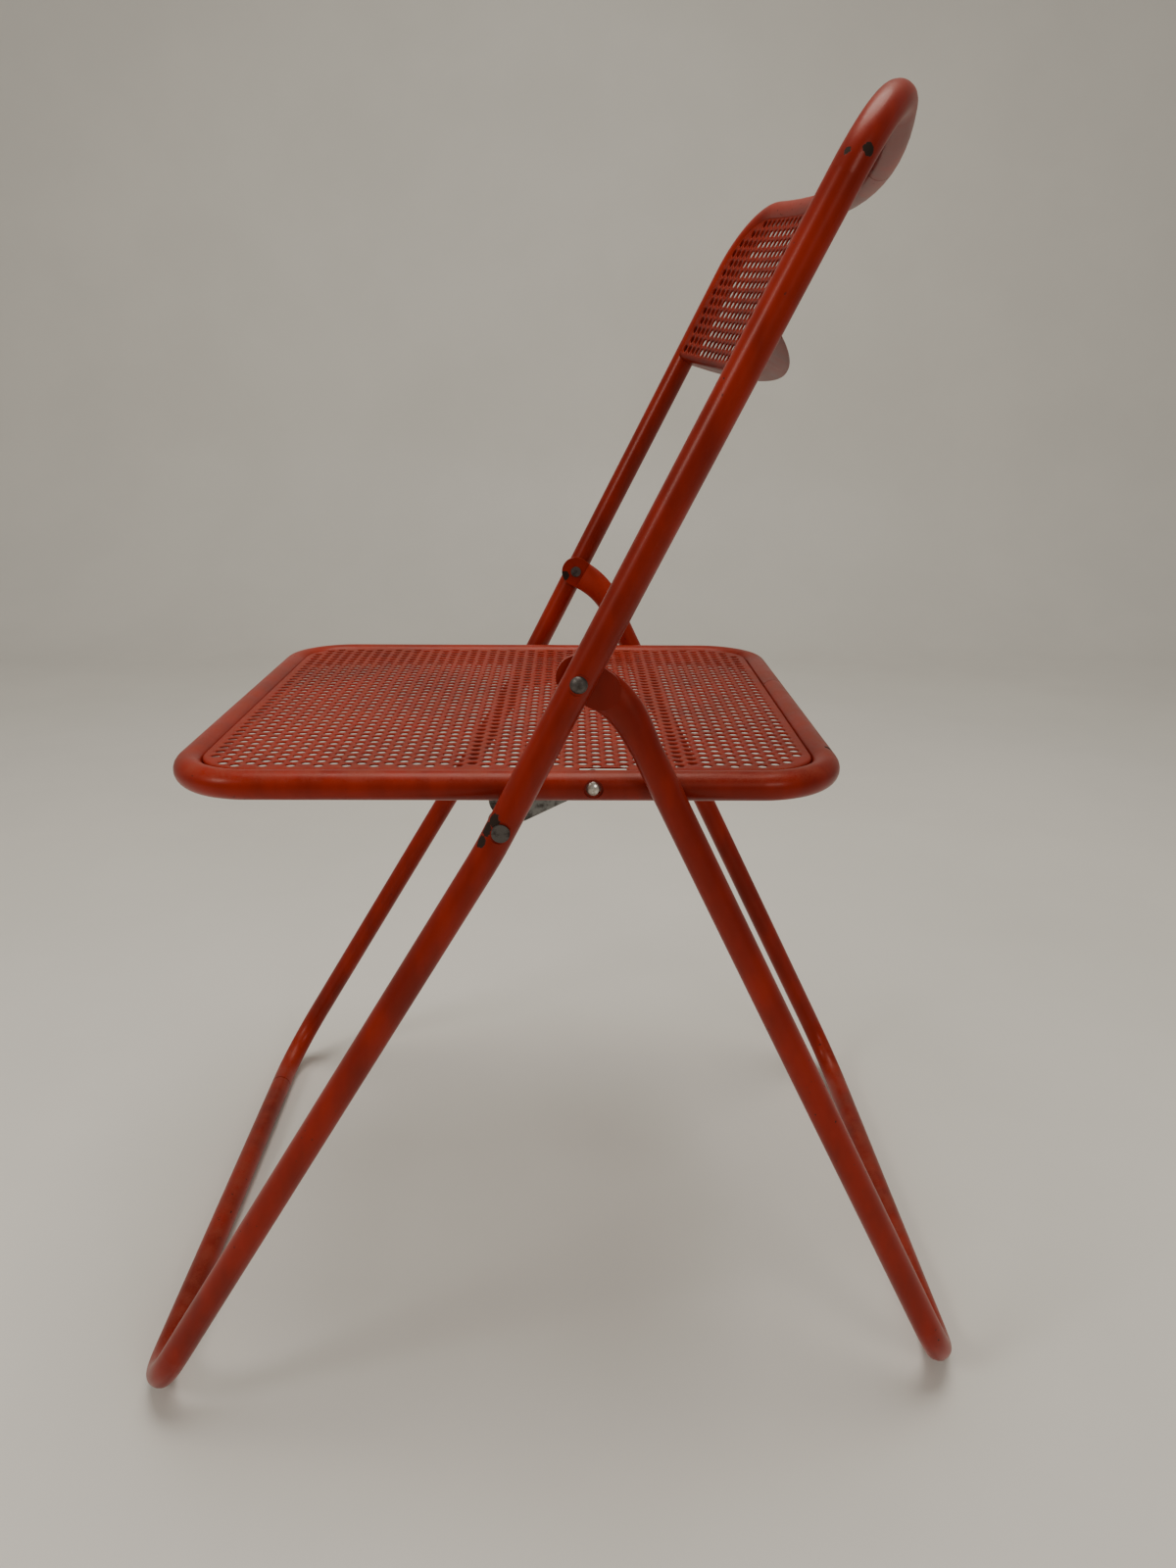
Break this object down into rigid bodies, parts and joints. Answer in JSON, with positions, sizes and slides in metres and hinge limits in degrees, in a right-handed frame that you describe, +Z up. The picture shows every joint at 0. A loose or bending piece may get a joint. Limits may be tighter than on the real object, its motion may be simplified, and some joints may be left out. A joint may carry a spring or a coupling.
{
  "type": "folding chair",
  "caption": "Folding chair of bent steel tube with a perforated sheet steel seat and back panel, whose rear leg frame and seat fold flat against the front frame.",
  "frame": {"origin": "on the floor, midway between the front and rear floor bars and between the two sides", "axes": "+X towards the back of the chair, +Y towards the sitter's right, +Z up"},
  "size_m": [0.5628, 0.476, 0.7975],
  "materials": {
    "red_paint": "gloss enamel, worn and chipped at edges and joints",
    "dark_steel": "dark bare steel, dull",
    "zinc_plate": "dull zinc plate",
    "bright_rivet": "bright nickel plate"
  },
  "bodies": {
    "main_frame": {"frame_tube_left": "red_paint", "frame_tube_right": "red_paint", "frame_top_spigot": "dark_steel", "frame_floor_spigot": "dark_steel", "back_panel": "red_paint", "leg_rivet_left": "dark_steel", "leg_rivet_right": "dark_steel", "leg_washer_left": "zinc_plate", "leg_washer_right": "zinc_plate", "frame_rivet_left": "dark_steel", "frame_rivet_right": "dark_steel", "frame_washer_left": "zinc_plate", "frame_washer_right": "zinc_plate", "link_spacer_left": "zinc_plate", "link_spacer_right": "zinc_plate"},
    "rear_leg": {"rear_leg_tube": "red_paint", "seat_stud_left": "dark_steel", "seat_stud_right": "dark_steel", "stud_washer_left": "zinc_plate", "stud_washer_right": "zinc_plate"},
    "seat": {"seat_tube": "red_paint", "seat_spigot": "dark_steel", "seat_panel": "red_paint", "link_rivet_left": "bright_rivet", "link_rivet_right": "bright_rivet"},
    "link_left": {"seat_link_left": "zinc_plate", "link_rivet_end_left": "dark_steel"},
    "link_right": {"seat_link_right": "zinc_plate", "link_rivet_end_right": "dark_steel"}
  },
  "joints": [
    {"name": "rear_leg_fold", "type": "hinge", "parent": "main_frame", "child": "rear_leg", "pos_m": [0.0143, 0, 0.50081], "axis": [0, 1, 0], "range_deg": [0, 50]},
    {"name": "seat_fold", "type": "hinge", "parent": "rear_leg", "child": "seat", "pos_m": [0.06624, 0, 0.43], "axis": [0, 1, 0], "range_deg": [0, 60.3]},
    {"name": "link_left_fold", "type": "hinge", "parent": "main_frame", "child": "link_left", "pos_m": [-0.02864, 0, 0.4169], "axis": [0, 1, 0], "range_deg": [-32.4, 0]},
    {"name": "link_right_fold", "type": "hinge", "parent": "main_frame", "child": "link_right", "pos_m": [-0.02864, 0, 0.4169], "axis": [0, 1, 0], "range_deg": [-32.4, 0]}
  ],
  "couplings": [
    {"joint": "seat_fold", "follows": "rear_leg_fold", "ratio": 1.2047},
    {"joint": "link_left_fold", "follows": "rear_leg_fold", "ratio": -0.6465},
    {"joint": "link_right_fold", "follows": "rear_leg_fold", "ratio": -0.6465}
  ]
}
